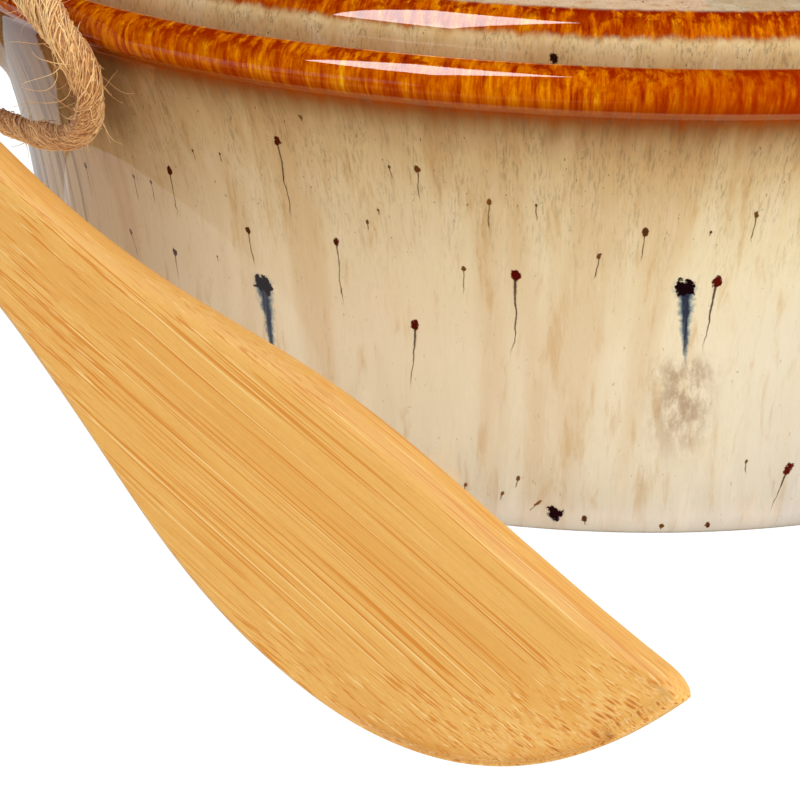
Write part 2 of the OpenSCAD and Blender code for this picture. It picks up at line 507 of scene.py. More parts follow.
def glaze(name, wall_stops, is_lid):
    """Reactive stoneware glaze: cream that runs down in streaks, breaking to amber on the edges."""
    s = Shading(name)
    x, y, z = s.split(s.mm)
    radius = s.vector("LENGTH", s.join(x, y, 0))
    safe = s.math("MAXIMUM", radius, 4)
    way = s.join(s.over(x, safe), s.over(y, safe), 0)
    angle = s.math("ARCTAN2", y, x)
    wx, wy, _ = s.split(s.vector("SCALE", way, scale=MIDDLE_R))

    def drawn(height, k):
        """Places round the wall, drawn out in height where k is below 1."""
        return s.join(wx, wy, s.times(height, k))

    if is_lid:
        # the top is nearly level, so its streaks are short there and run outwards
        fall = s.minus(z, s.times(radius, 0.5))
        streak_at, flame_at = (s.join(x, y, s.times(z, k)) for k in (0.25, 0.4))
    else:
        fall = z
        streak_at, flame_at = (drawn(z, k) for k in (0.11, 0.2))

    broad = s.noise(streak_at, 0.16, 2)
    streak = s.noise(flame_at, 0.6, 5, 0.62, 0.3)
    fine = s.noise(streak_at, 2.2, 3, 0.6)
    blotch = s.noise(drawn(fall, 0.45), 0.11, 3, 0.6)

    # cream, by height; the darker band above it ends raggedly, like runs. On the crock that band, under the
    # bead, is partly the glaze's own brown and partly painted shade under the bead's overhang
    ragged = s.times(s.minus(s.noise(streak_at, 0.8, 3, 0.65), 0.5), 5)
    ragged = s.times(ragged, s.step(z, 49, 40) if not is_lid else 0.3)
    cream = s.ramp(s.plus(z, ragged), wall_stops)
    pale = s.tinted(cream, 255, 250, 242)
    pale = s.mix(0.5 if is_lid else s.step(z, 43, 36, 0.5), pale, rgb(238, 226, 206))
    tan = s.tinted(cream, 226, 196, 156)
    s.colour = cream
    s.paint(s.step(streak, 0.52, 0.72, 0.55), pale)
    s.paint(s.step(streak, 0.48, 0.28, 0.55), tan)
    s.paint(s.step(broad, 0.5, 0.34, 0.35), tan)
    s.paint(s.step(fine, 0.52, 0.8, 0.35), pale)
    s.paint(s.times(s.step(blotch, 0.55, 0.7), s.step(z, 30, 10, 0.6)), 236, 206, 160)

    # grey hairs drawn out down the wall, thickest just under the rim
    hair = s.noise(drawn(fall, 0.16) if not is_lid else streak_at, 4.6, 4, 0.7)
    crowd = s.noise(flame_at, 0.5, 3, 0.6)
    high = s.step(z, 24, 46)
    amount = s.times(s.step(hair, 0.47, 0.64), s.step(crowd, 0.32, 0.6), s.linear(high, 0.42, 0.06))
    s.paint(amount, 104, 91, 68)
    speck = s.noise(drawn(fall, 0.5), 3, 2)
    speck = s.times(s.step(speck, 0.7, 0.76), s.linear(high, 0.5, 0.3))
    s.paint(speck, 84, 62, 40)

    wander = s.minus(s.noise(drawn(z, 0.8), 0.5, 3), 0.5)

    if not is_lid:
        # a brown haze below the largest drip
        haze = s.noise(drawn(z, 0.5), 0.9, 4, 0.7)
        side = s.times(s.math("ABSOLUTE", s.facing(way, HAZE_SIDE + 90)), MIDDLE_R)
        front = s.math("GREATER_THAN", s.facing(way, HAZE_SIDE), 0.5)
        spot = s.times(front, s.step(side, 5, 0.5), s.step(z, 7, 15), s.step(z, 22, 19))
        s.paint(s.times(spot, s.step(haze, 0.3, 0.65, 0.75)), 156, 124, 92)
        s.paint(s.step(z, 5, 2.5, 0.25), 228, 214, 200)
        # the wall on the left, round by the lug and behind the spreader and twine, is painted darker as
        # their painted shade; a few brown runs there are the glaze's own
        thick = s.facing(way, LUG_SIDE)
        s.paint(s.step(thick, 0.76, 0.98, 0.9), s.tinted(s.colour, 196, 166, 134))
        brown = s.step(s.noise(drawn(z, 0.05), 0.5, 2), 0.5, 0.62)
        s.paint(s.times(brown, s.step(thick, 0.945, 0.985, 0.85)), 110, 76, 42)
        # painted shade: a soft contact shadow painted beside the twine's turn, where the twine lies close to
        # the wall
        twine_shadow = s.facing(way, TWINE_SHADOW_SIDE)
        twine_shadow = s.times(s.step(twine_shadow, 0.996, 0.9995), s.step(z, 35, 41), s.step(z, 47, 45, 0.6))
        s.paint(twine_shadow, 112, 76, 40)
        # a little paler and less yellow low down on the other side
        right = s.step(s.facing(way, PALE_SIDE), 0.84, 0.98)
        s.paint(s.times(right, s.step(z, 36, 22)), s.tinted(s.colour, 240, 241, 251))
        clump = s.minus(s.noise(s.join(wx, wy, z), 1.5, 3, 0.6), 0.5)
        degrees = s.math("DEGREES", angle)
        for drips in (DRIPS, MORE_DRIPS):
            head, tail, halo, size = drip_masks(s, degrees, z, wander, clump, drips)
            broken = s.linear(s.step(fine, 0.3, 0.55), 0.3, 0.6)
            large = s.step(size, 0.5, 0.75)
            halo_colour = s.mix(large, rgb(176, 146, 104), rgb(92, 124, 136))
            s.paint(s.times(halo, s.linear(large, 0.6, 0.2)), halo_colour)
            tail_colour = s.ramp(size, [(0.2, (110, 88, 58)), (0.42, (62, 48, 34)), (0.56, (52, 22, 20)),
                                        (0.7, (20, 20, 52)), (0.9, (20, 20, 52))])
            s.paint(s.times(tail, broken), tail_colour)
            head_colour = s.ramp(size, [(0.12, (90, 70, 46)), (0.26, (120, 78, 36)), (0.36, (74, 34, 12)),
                                        (0.54, (84, 14, 8)), (0.72, (24, 8, 12)), (0.9, (20, 6, 10))])
            s.paint(head, head_colour)

        head, tail, kind = scattered_drips(s, way, angle, z, wander, clump, 34, 13.0, 0.5)
        behind = s.step(s.facing(way, PLACED_SIDE), 0.8, 0.74)
        on_wall = s.times(behind, s.step(z, 3, 5), s.step(z, 43, 41), s.step(radius, 66.5, 67))
        shade = s.mix(s.step(kind, 0.7, 0.85), rgb(84, 46, 26), rgb(26, 24, 52))
        s.paint(s.times(tail, on_wall, 0.8), s.mix(0.45, shade, rgb(120, 100, 76)))
        s.paint(s.times(head, on_wall), shade)

    # amber where the glaze breaks over an edge
    if is_lid:
        edge_amber = s.times(s.step(s.plus(z, s.times(ragged, 0.8)), 52.6, 53.3),
                             s.step(s.plus(radius, wander), 69.4, 70.4))
        knob_amber = s.times(s.step(z, 68, 71.5), s.step(z, 77.6, 75.8), s.step(radius, 9.5, 11.5))
        amber = s.math("MAXIMUM", edge_amber, knob_amber)
        upper = s.step(z, 53.4, 54.8)
    else:
        amber = s.times(s.step(s.plus(z, s.times(ragged, 0.22)), 46.7, 47.6), s.step(radius, 73.2, 73.7))
        beyond = s.plus(s.math("ABSOLUTE", x), s.times(wander, 3))
        lug = s.times(s.step(beyond, 90, 96.5), s.step(s.math("ABSOLUTE", y), 30, 24))
        amber = s.math("MAXIMUM", amber, lug)
        upper = s.step(z, 49.8, 50.9)
    around = s.minus(z, radius)
    bead_at = drawn(around, 0.16)
    patch_at = drawn(around, 0.6)
    lick = s.noise(bead_at, 1.5, 5, 0.7, 0.1)
    patch = s.noise(patch_at, 0.8, 4, 0.7, 0.4)
    region = s.noise(bead_at, 0.06, 1)
    gold = s.ramp(lick, [(0.3, (116, 22, 0)), (0.42, (168, 60, 0)), (0.52, (198, 96, 0)),
                         (0.62, (218, 130, 2)), (0.74, (238, 172, 26))])
    mottle = s.linear(s.minus(region, 0.5), 0.5, patch)
    mottle = s.times(s.step(mottle, *((0.4, 0.56) if is_lid else (0.45, 0.61))), s.linear(upper, 0.5, 0.42))
    gold = s.mix(mottle, gold, rgb(134, 16, 0) if is_lid else rgb(142, 28, 0))
    if not is_lid:
        gold = s.mix(s.step(z, 48.9, 47.2, 0.6), gold, rgb(136, 48, 4))
        # redder on one side of the rim
        gold = s.mix(s.step(s.facing(way, RED_SIDE), 0.86, 0.99, 0.6), gold, rgb(150, 36, 0))
    s.paint(amber, gold)

    if is_lid:
        # a dark spot on the lid's edge
        spot = s.vector("DISTANCE", s.mm, LID_SPOT)
        spot = s.plus(spot, s.minus(s.noise(s.mm, 2, 2), 0.5))
        s.paint(s.step(spot, 0.55, 0.35), 28, 14, 10)

    # bare clay where the glaze was wiped off: the foot, and the lid's ring
    if is_lid:
        bare = s.times(s.step(z, 46.75, 46.6), s.step(radius, 63.5, 64.2))
    else:
        bare = s.step(s.plus(z, s.times(wander, 0.5)), 0.75, 0.45)
    grit = s.noise(s.mm, 2.2, 3, 0.7)
    clay = s.mix(s.step(grit, 0.35, 0.7), rgb(178, 150, 118), rgb(208, 186, 156))
    clay = s.mix(s.step(s.noise(s.mm, 1.1, 1), 0.68, 0.74, 0.6), clay, rgb(120, 90, 62))
    s.paint(bare, clay)

    # roughness: glassy glaze, dry clay
    gloss = s.linear(s.step(fine, 0.3, 0.8), 0.06, 0.16)
    roughness = s.math("MAXIMUM", gloss, s.times(bare, 0.85))
    wave = s.times(s.noise(s.mm, 0.09, 2), 0.25)
    run = s.times(s.plus(streak, s.times(lick, amber)), 0.02)
    rough_clay = s.times(grit, bare, 0.15)
    return s.finish(roughness, s.plus(s.plus(wave, run), rough_clay),
                    Coat_Weight=1.0, Coat_Roughness=0.03, Coat_IOR=1.5, Specular_IOR_Level=0.0)


# the browner stops from about 41 mm up to the bead are partly the glaze's colour and partly painted shade
# under the bead's overhang
CROCK_STOPS = [
    (0, (202, 190, 168)), (4, (208, 196, 172)), (10, (220, 207, 178)), (20, (230, 216, 184)),
    (29, (230, 214, 176)), (36, (220, 199, 156)), (41, (203, 174, 126)), (43.6, (182, 149, 104)),
    (45, (156, 116, 72)), (45.9, (144, 84, 38)), (46.6, (152, 66, 8)), (47.8, (196, 100, 0)),
    (52, (206, 112, 0)),
]
LID_STOPS = [
    (40, (214, 190, 150)), (50, (214, 184, 130)), (52.4, (222, 192, 140)), (53.2, (176, 122, 62)),
    (54.4, (222, 196, 156)), (56, (232, 214, 186)), (64, (226, 208, 180)), (68, (206, 170, 116)),
    (79, (224, 208, 180)),
]


# ---- crock

BEAD = (76.8, 49.0)
BEAD_R = 2.2
WALL = ((68.6, 3), (69.2, 22), (71, 35), (77.6, 47.5))
LUG_Z = 42.0
LUG_BAR = 4.25
LUG_BEND = 13.0
LUG_MID = 83.0
UNEVEN = 0.022


def crock_profile():
    outer = bezier(WALL, 160)
    outer = outer[np.hypot(*(outer - BEAD).T) > BEAD_R + 0.25]
    start = math.degrees(math.atan2(outer[-1][1] - BEAD[1], outer[-1][0] - BEAD[0]))
    line = joined([
        [[0, 0], [65.6, 0]],
        arc((65.6, 3), 3, -90, 0, 16),
        outer[1:],
        arc(BEAD, BEAD_R, start + 10, 176, 48),
        [[73.9, 48.9], [73.4, 48.4], [73.4, 46.5], [69.8, 46.5], [69.4, 46.1]],
        bezier(((69.4, 42.5), (66.5, 36), (64.5, 24), (63.6, 16)), 30),
        bezier(((63.6, 16), (63, 8), (58, 6.5), (48, 6.5)), 30),
        [[48, 6.5], [0, 6.5]],
    ])

    def spacing(p):
        r, z = p
        if z > 44 and r > 69:
            return 0.3
        if r > 66 and z < 3.5:
            return 0.45
        if r > 68 and z > 33:
            return 0.6
        return 1.6 if r > 55 else 5.0

    line = resample(line, spacing)
    soft = relax(line, 3)
    high = ((line[:, 1] > 44) & (line[:, 0] > 69))[:, None]
    return np.where(high, soft, line)


def make_crock(material):
    fine = np.radians(np.arange(-19, 19, 0.5))
    coarse = np.radians(np.arange(19, 161, 1.25))
    angles = joined([fine, coarse, fine + pi, coarse + pi])
    verts, faces = lathe(crock_profile(), angles)
    r = np.hypot(verts[:, 0], verts[:, 1])
    z = verts[:, 2]

    # thumbed-on roots: the wall swells to meet each leg of a lug
    swell = 3.4
    outside = (r > 68) & (z > 32)
    for sign in (-1, 1):
        for leg in (-LUG_BEND, LUG_BEND):
            away = np.hypot(verts[:, 1] - leg, z - LUG_Z)
            t = np.clip((LUG_BAR + swell - away) / swell, 0, 1)
            lift = swell - np.sqrt(np.maximum(swell**2 - (t * swell) ** 2, 0))
            # less on the bead, so that it stays whole above the lug
            lift *= 1 - 0.75 * smoothstep(z, 45.5, 47.5)
            near = outside & (verts[:, 0] * sign > 60)
            verts[:, 0] += np.where(near, sign * lift, 0)

    # a slip-cast pot isn't quite true
    for i, v in enumerate(verts):
        if z[i] > 2 and r[i] > 40:
            p = Vector((v[0], v[1], v[2] * 1.6)) * UNEVEN
            v[:2] *= 1 + 0.16 * noise.noise(p) * min(1.0, (z[i] - 2) / 12) / r[i]
            v[2] += 0.10 * noise.noise(p + Vector((9, 4, 2))) * min(1.0, (z[i] - 2) / 30)
    crock = add_mesh("stoneware_crock", verts, faces)

    # the lugs: bars bent to a U, a little flattened by hand
    for sign in (-1, 1):
        turn = arc((LUG_MID, 0), LUG_BEND, -90, 90, 49)
        leg_x = np.linspace(71.5, LUG_MID, 17)[:-1]
        plan = joined([[[x, -LUG_BEND] for x in leg_x], turn, [[x, LUG_BEND] for x in leg_x[::-1]]])
        path = joined([plan * [sign, 1], np.full((len(plan), 1), LUG_Z)], 1)

        def bar(i, angles, plan=plan):
            p = Vector((plan[i][0] * 0.05, plan[i][1] * 0.05, 3.0 * sign))
            waist = 0.12 * (1 + noise.noise(p))
            return LUG_BAR - waist - 0.12 * np.cos(2 * angles) ** 2

        boolean(crock, add_mesh("lug", *tube(path, bar, 40)), "UNION", material)
    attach(crock, "crock_body")
    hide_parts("crock")


# ---- lid

LID_R = 72.9
LID_TOP = 55.0
EDGE_W = 3.0
KNOB_TOP = 79.0


def make_lid(material):
    line = joined([
        [[0, 50], [55, 50], [58.5, 49.6], [61.5, 48.2], [63.9, 46.6], [64.6, 45.2], [64.6, 42.1],
         [65.2, 41.5], [68.2, 41.5], [68.8, 42.1], [68.8, 46.5], [72.3, 46.5], [LID_R, 47.1]],
        bezier(((LID_R, LID_TOP - 1.2 * EDGE_W), (LID_R, LID_TOP - 0.6 * EDGE_W),
                (LID_R - 0.5 * EDGE_W, LID_TOP), (LID_R - EDGE_W, LID_TOP)), 24),
        bezier(((LID_R - EDGE_W, LID_TOP), (52, LID_TOP + 0.6), (24, LID_TOP + 3.5), (13, LID_TOP + 5)), 40),
        bezier(((13, 60), (9, 61), (8, 66), (12.5, 70)), 30),
        bezier(((12.5, 70), (16.5, 72.5), (14.5, 78.5), (0, KNOB_TOP)), 40),
        [[0, KNOB_TOP]],
    ])

    def spacing(p):
        r, z = p
        if r > 62 and z < 56:
            return 0.35
        if r < 22 and z > 56:
            return 0.5
        return 1.8 if r > 3 else 1.0

    line = resample(line, spacing)
    soft = relax(line, 3)
    corner = ((line[:, 0] > 62) & (line[:, 1] < 52))[:, None]
    near_neck = ((line[:, 0] < 22) & (line[:, 1] > 58) & (line[:, 0] > 3))[:, None]
    line = np.where(corner | near_neck, soft, line)
    verts, faces = lathe(line, np.radians(np.arange(0, 360, 1.25)))
    r = np.hypot(verts[:, 0], verts[:, 1])
    for i, v in enumerate(verts):
        if r[i] > 0.5 and v[2] > 47:
            p = Vector(v) * UNEVEN
            v[2] -= 0.12 * (0.5 + 0.5 * noise.noise(p + Vector((1, 7, 3))))
            v[:2] *= 1 + (0.10 * noise.noise(p) - 0.05) / r[i]
    lid = add_mesh("stoneware_lid", verts, faces, material)
    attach(lid, "lid_body")
    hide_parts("lid")


# ---- bamboo spreader

HITCH = (-103, -21, 51)
SPREADER_YAW, SPREADER_LEAN, SPREADER_DROP = -45, 12, -18.5
TIP = (141.5, 7.2)
HOLE_R = 2.8
HALF_THICK = 2.5


def spreader_matrix():
    turn = Matrix.Rotation
    return (Matrix.Translation(Vector(HITCH) * MM)
            @ turn(radians(SPREADER_YAW), 4, "Z")
            @ turn(radians(90 - SPREADER_LEAN), 4, "X")
            @ turn(radians(SPREADER_DROP), 4, "Z"))


def even(points, count):
    """A line of points resampled so that they crowd towards both ends."""
    at = lengths_along(points)
    u = np.linspace(0, 1, count)
    s = at[-1] * (0.72 * u + 0.28 * 0.5 * (1 - np.cos(pi * u)))
    return np.stack([np.interp(s, at, points[:, k]) for k in (0, 1)], 1)


def bamboo():
    """Bamboo: long fibre bundles that show as lines on the flat and as dots where it is cut across."""
    s = Shading("bamboo")
    turned = spreader_matrix()
    from_hole = s.vector("SUBTRACT", s.mm, tuple(turned.translation / MM))
    x, y, z = (s.vector("DOT_PRODUCT", from_hole, tuple(turned.col[k][:3])) for k in range(3))
    bend = s.times(s.minus(s.noise(s.join(s.times(x, 0.02), 0, 0), 1, 1), 0.5), 1.5)
    y = s.plus(y, bend)

    def grain(along, across=1.0):
        return s.join(s.times(x, along), s.times(y, across), s.times(z, across))

    broad = s.noise(grain(0.006), 0.22, 2)
    band = s.noise(grain(0.006), 0.7, 2, 0.6)
    hair = s.noise(grain(0.015), 5, 4, 0.65)
    grit = s.noise(grain(0.25), 5, 3, 0.7)
    s.colour = s.mix(s.step(broad, 0.3, 0.7), rgb(232, 166, 74), rgb(240, 182, 92))
    s.paint(s.step(band, 0.56, 0.72, 0.5), 244, 194, 110)
    s.paint(s.step(hair, 0.46, 0.3, 0.4), 214, 138, 52)
    s.paint(s.step(hair, 0.55, 0.72, 0.35), 250, 208, 130)
    s.paint(s.step(grit, 0.45, 0.7, 0.22), 212, 150, 72)
    # single bundles show as fine dark and light lines, the dark ones in groups
    crowd = s.linear(s.step(band, 0.36, 0.56), 0.08, -0.04)
    dark = s.step(s.plus(s.noise(grain(0.005), 4.4, 2, 0.6), crowd), 0.585, 0.64, 0.85)
    light = s.step(s.noise(grain(0.005, 1.07), 4, 2, 0.6), 0.6, 0.66, 0.7)
    s.paint(light, 255, 220, 148)
    s.paint(dark, 220, 134, 28)
    # bundles cut across, near the bevelled end, drink more oil and turn darker
    facing = s.node("ShaderNodeTexCoord").outputs["Normal"]
    cut = s.math("ABSOLUTE", s.vector("DOT_PRODUCT", facing, tuple(turned.col[0][:3])))
    cut = s.step(cut, 0.03, 0.24)
    near, tint = s.cells(grain(0.09), 2)
    r1, r2, _ = s.split(tint)
    size = s.linear(r1, 0.16, s.linear(cut, 0.1, 0.12))
    near = s.over(near, size)
    bundle = s.step(near, 1.3, 0.5)
    shown = s.times(cut, s.linear(r2, 0.4, 0.55))
    s.paint(s.times(bundle, shown), 220, 132, 40)
    ring = s.times(s.step(near, 2.2, 1.3), s.step(near, 1, 1.3))
    s.paint(s.times(ring, cut, 0.5), 250, 206, 132)
    # the outer rows of bundles are the darkest
    outer = s.times(s.step(near, 0.9, 0.5), s.step(cut, 0.75, 1))
    s.paint(s.times(outer, 0.35), 150, 84, 30)
    # the sawn edges, told apart by which way they face: the back edge, facing up, is painted a little deeper
    # and the belly's edge, facing down, painted greyer, both as painted shade
    edge = s.vector("DOT_PRODUCT", facing, tuple(turned.col[1][:3]))
    s.paint(s.step(edge, 0.35, 0.8, 0.45), 214, 160, 88)
    s.paint(s.step(edge, -0.25, -0.7, 0.6), 206, 172, 132)
    relief = s.plus(s.times(hair, 0.035), s.times(bundle, -0.03))
    return s.finish(s.linear(hair, 0.2, 0.45), relief, 0.7, Specular_IOR_Level=0.3)


def make_spreader(material):
    back = joined([
        arc((0, 0), 8, 180, 62, 40),
        [[6, 7.05]],
        bezier(((14, 7), (30, 7), (40, 5.6), (56, 4.8)), 24),
        bezier(((56, 4.8), (80, 3.6), (89.5, 8.6), (108, 8.6)), 60),
        bezier(((108, 8.6), (118, 8.6), (128, 7.9), (138.5, 8.2)), 40),
        bezier(((138.5, 8.2), (140, 8.2), (141, 7.9), TIP), 8),
        [TIP],
    ])
    belly = joined([
        arc((0, 0), 8, -180, -62, 40),
        [[6, -7.05]],
        bezier(((14, -7), (30, -7), (38, -5.6), (50, -6.4)), 24),
        bezier(((50, -6.4), (72.6, -7.9), (86.3, -16.3), (104, -16.3)), 60),
        bezier(((104, -16.3), (127, -16.3), (136.7, -5), TIP), 60),
        [TIP],
    ])
    rows, columns = 300, 44
    upper, lower = even(back, rows), even(belly, rows)
    below = even(belly, 900)
    tree = nearest(joined([even(back, 900), below[::-1]]))
    end_tree = nearest(below[below[:, 0] > 100])

    u = np.linspace(0, 1, columns)
    across = 0.5 * (1 - np.cos(pi * u))
    across = 0.75 * across + 0.25 * smoothstep(across, 0, 1)

    def surface(p, front):
        away = tree.find((p[0], p[1], 0))[2]
        rounding = np.interp(p[0], [0, 50, 80, 141], [1.7, 1.0, 0.45, 0.35])
        if p[1] < -2:
            # the belly's edge is eased more, up to the bevelled end
            rounding += np.interp(p[0], [45, 60, 100, 118], [0, 1.0, 1.0, 0])
        elif front and p[1] > 1:
            # the face rolls over towards the back
            rounding += np.interp(p[0], [60, 80, 120, 141], [0, 2.2, 2.2, 0.8])
        t = min(1.0, away / rounding)
        height = np.interp(p[0], [0, 48, 64, 80, 141], [HALF_THICK, HALF_THICK, 2.08, 1.7, 1.7])
        height *= math.sqrt(max(0.0, 1 - (1 - t) ** 2))
        if front and p[0] > 95:
            end_away = end_tree.find((p[0], p[1], 0))[2]
            height -= smoothstep(p[0], 98, 122) * 1.35 * max(0.0, 1 - end_away / 8.5) ** 1.7 * t
        if p[0] > 60:
            end_away = p[1] - np.interp(p[0], lower[:, 0], lower[:, 1])
            height -= 0.35 * max(0.0, 1 - end_away / 7) ** 2 * t * smoothstep(p[0], 60, 90)
        return height if front else -height

    grid = {}
    verts, faces = [], []

    def vertex(i, k, front):
        if i in (0, rows - 1):
            key = (i, 0, 0)
        elif k in (0, columns - 1):
            key = (i, k, 0)
        else:
            key = (i, k, 1 if front else -1)
        if key not in grid:
            p = lower[i] + (upper[i] - lower[i]) * across[k]
            height = 0.0 if key[2] == 0 else surface(p, front)
            grid[key] = len(verts)
            verts.append((p[0], p[1], height))
        return grid[key]

    for front in (True, False):
        for i in range(rows - 1):
            for k in range(columns - 1):
                corners = [vertex(i, k, front), vertex(i + 1, k, front),
                           vertex(i + 1, k + 1, front), vertex(i, k + 1, front)]
                if not front:
                    corners.reverse()
                seen = list(dict.fromkeys(corners))
                if len(seen) > 2:
                    faces.append(seen)
    spreader = add_mesh("bamboo_spreader", verts, faces)

    # the hole, with its edges eased
    half = HALF_THICK
    flare = joined([
        [[0, -half - 2], [HOLE_R + 2.2, -half - 2], [HOLE_R + 0.9, -half - 0.15]],
        arc((HOLE_R + 0.9, -half + 0.75), 0.9, -95, -180, 6)[1:],
        arc((HOLE_R + 0.9, half - 0.75), 0.9, 180, 95, 6)[:-1],
        [[HOLE_R + 0.9, half + 0.15], [HOLE_R + 2.2, half + 2], [0, half + 2]],
    ])
    drill = add_mesh("drill", *lathe(flare, np.radians(np.arange(0, 360, 5))))
    boolean(spreader, drill, "DIFFERENCE", material)
    spreader.data.transform(spreader_matrix())
    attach(spreader, "spreader_body")
    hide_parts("spreader")


# ---- jute twine

KNOT_AT = np.array([-104.0, 3.0, 44.0])
TWINE_ROUTE = [
    (-104, 3, 47), (-104, 3, 50), (-105, 1, 55), (-107, -5, 58.5), (-110, -12, 59.5), (-112.5, -18.5, 58.5),
    (-112, -24.5, 55.5), (-107.5, -25.5, 52.5), (-104, -22, 51.3), (-99.5, -17.5, 50), (-92, -19, 45),
    (-85, -22.5, 41), (-78, -26, 37.5), (-72, -30, 35), (-68.5, -36, 35), (-65.5, -41, 35.5),
    (-62.5, -46, 36.5), (-60.5, -50, 38.5), (-59.5, -52.5, 41), (-59.5, -54, 44), (-60.5, -54.5, 47),
    (-63, -52, 50), (-66, -46.5, 52.5), (-69.5, -40, 54), (-74, -31.5, 54.5), (-79, -22.5, 53.5),
    (-83.5, -14, 50.5), (-86, -7.5, 46), (-88, -3, 41), (-91.5, 0.5, 36.5), (-97, 2.5, 35),
    (-101.5, 3, 35.6), (-104, 3, 38.5), (-104, 3, 41),
]


def through(points, step):
    """A smooth line through points, then eased so that no bend is sharp; its ends stay."""
    p = np.array(points, float)
    p = joined([[2 * p[0] - p[1]], p, [2 * p[-1] - p[-2]]])
    line = []
    for i in range(1, len(p) - 2):
        a, b, c, d = p[i - 1:i + 3]
        for t in np.linspace(0, 1, 12, endpoint=False):
            line.append(0.5 * (2 * b + (c - a) * t + (2 * a - 5 * b + 4 * c - d) * t * t
                               + (3 * b - a - 3 * c + d) * t**3))
    line.append(p[-2])
    line = resample(np.array(line), lambda q: step)
    return relax(line, 40)


def jute(name, dark, light):
    s = Shading(name)
    island = s.node("ShaderNodeNewGeometry").outputs["Random Per Island"]
    speck = s.noise(s.mm, 2.4, 3, 0.6)
    patch = s.noise(s.mm, 0.35, 2)
    s.colour = s.mix(s.step(speck, 0.3, 0.7), rgb(*dark), rgb(*light))
    s.paint(s.step(island, 0.45, 1, 0.8), 252, 218, 152)
    s.paint(s.step(island, 0.35, 0, 0.6), 168, 108, 52)
    s.paint(s.step(patch, 0.5, 0.7, 0.3), 206, 132, 66)
    s.paint(s.step(speck, 0.36, 0.24, 0.5), 120, 74, 36)
    return s.finish(0.8, s.times(speck, 0.08), Sheen_Weight=0.25, Sheen_Roughness=0.4)


TWIST = 2 * pi / 15.0
THICK = ([0, 45, 62, 95, 110, 122, 130, 140, 152, 166, 180, 215],
         [1.5, 1.35, 1.22, 1.22, 1.42, 1.65, 1.85, 2.1, 2.25, 2.0, 1.55, 1.5])


class Cord:
    """A cord's centreline with its directions across, to lay fibres on."""

    def __init__(self, path, thick=THICK):
        self.path = path
        self.at = lengths_along(path)
        self.along, self.u, self.v = carried_frames(path)
        self.thick = thick

    def ply(self, s, angle):
        """How far the surface stands out there, for plies laid round each other."""
        lobe = np.abs(np.cos(angle - TWIST * s))
        rope = np.abs(np.sin(7 * (angle - TWIST * 1.5 * s) + 1.3 * np.sin(0.7 * s)))
        return np.interp(s, *self.thick) * (0.74 + 0.16 * lobe + 0.05 * rope)

    def point(self, s, angle, scale=1.0):
        middle, u, v = (np.array([np.interp(s, self.at, rows[:, k]) for k in range(3)])
                        for rows in (self.path, self.u, self.v))
        out = cos(angle) * u + sin(angle) * v
        return middle + out * self.ply(s, angle) * scale, out

    def body(self, around):
        return tube(self.path, lambda i, a: self.ply(self.at[i], a), around)


def surface_fibres(cord, count, rng, start=0.0, stop=None):
    """Fibres lying along the cord's twist in clumps, their ends tucked in."""
    stop = cord.at[-1] if stop is None else stop
    parts = []
    clump = None
    for number in range(count):
        if number % 5 == 0:
            clump = (rng.uniform(start - 2, stop - 3), rng.uniform(0, 2 * pi),
                     TWIST * rng.normal(1.2, 0.5), rng.uniform(0.9, 1.16))
        length = rng.uniform(5, 19)
        s0 = clump[0] + rng.normal(0, 2.0)
        angle = clump[1] + rng.normal(0, 0.16)
        slant = clump[2] + rng.normal(0, 0.05)
        sway, phase = rng.uniform(0.03, 0.26), rng.uniform(0, 6.3)
        lift = clump[3] + rng.normal(0, 0.05)
        thick = rng.uniform(0.035, 0.095)
        line = []
        for t in np.linspace(0, 1, max(7, int(length / 0.9))):
            s = s0 + t * length
            if not 0 <= s <= cord.at[-1]:
                continue
            tuck = 0.84 + (lift - 0.84) * min(1.0, 5 * t, 5 * (1 - t)) + 0.035 * sin(1.7 * s + phase)
            p, _ = cord.point(s, angle + slant * (s - s0) + sway * sin(1.1 * s + phase), tuck)
            line.append(p)
        if len(line) > 4:
            line = np.array(line)
            taper = np.interp(np.linspace(0, 1, len(line)), [0, 0.15, 0.85, 1], [0.4, 1, 1, 0.4])
            parts.append(tube(line, lambda i, a, k=taper, w=thick: w * k[i], 5))
    return parts


def clear_of_crock(p):
    r = math.hypot(p[0], p[1])
    if p[2] < 46:
        wall = bezier(WALL, 60)
        return r > np.interp(p[2], wall[:, 1], wall[:, 0]) + 0.3
    return math.hypot(r - BEAD[0], p[2] - BEAD[1]) > BEAD_R + 0.3 and r > BEAD[0]


def stray_fibres(cord, spans, rng, low, high):
    """Hairs that stand off the cord. spans are (start, stop, count, longest)."""
    parts = []
    for start, stop, count, longest in spans:
        made, tries = 0, 0
        while made < count and tries < count * 8:
            tries += 1
            s0 = rng.uniform(start, stop)
            angle = rng.uniform(0, 2 * pi)
            p, out = cord.point(s0, angle, 0.9)
            k = int(np.searchsorted(cord.at, s0).clip(0, len(cord.path) - 1))
            forward = cord.along[k] * rng.choice([-1, 1])
            heading = forward * rng.uniform(0.8, 1.8) + out * rng.uniform(0.2, 0.9) + rng.normal(0, 0.3, 3)
            heading /= np.linalg.norm(heading)
            curl = rng.normal(0, 0.22, 3)
            length = rng.uniform(0.2, 1.0) ** 1.8 * longest
            steps = max(6, int(length / 0.45))
            line = [p]
            for _ in range(steps):
                curl = 0.86 * curl + rng.normal(0, 0.13, 3)
                heading = heading + curl * 0.6
                heading /= np.linalg.norm(heading)
                line.append(line[-1] + heading * length / steps)
            line = np.array(line)
            if (line < low).any() or (line > high).any() or not all(clear_of_crock(q) for q in line[1:]):
                continue
            taper = np.linspace(1, 0.35, len(line))
            thick = rng.uniform(0.035, 0.065)
            parts.append(tube(line, lambda i, a, w=thick, t=taper: w * t[i], 4))
            made += 1
    return parts


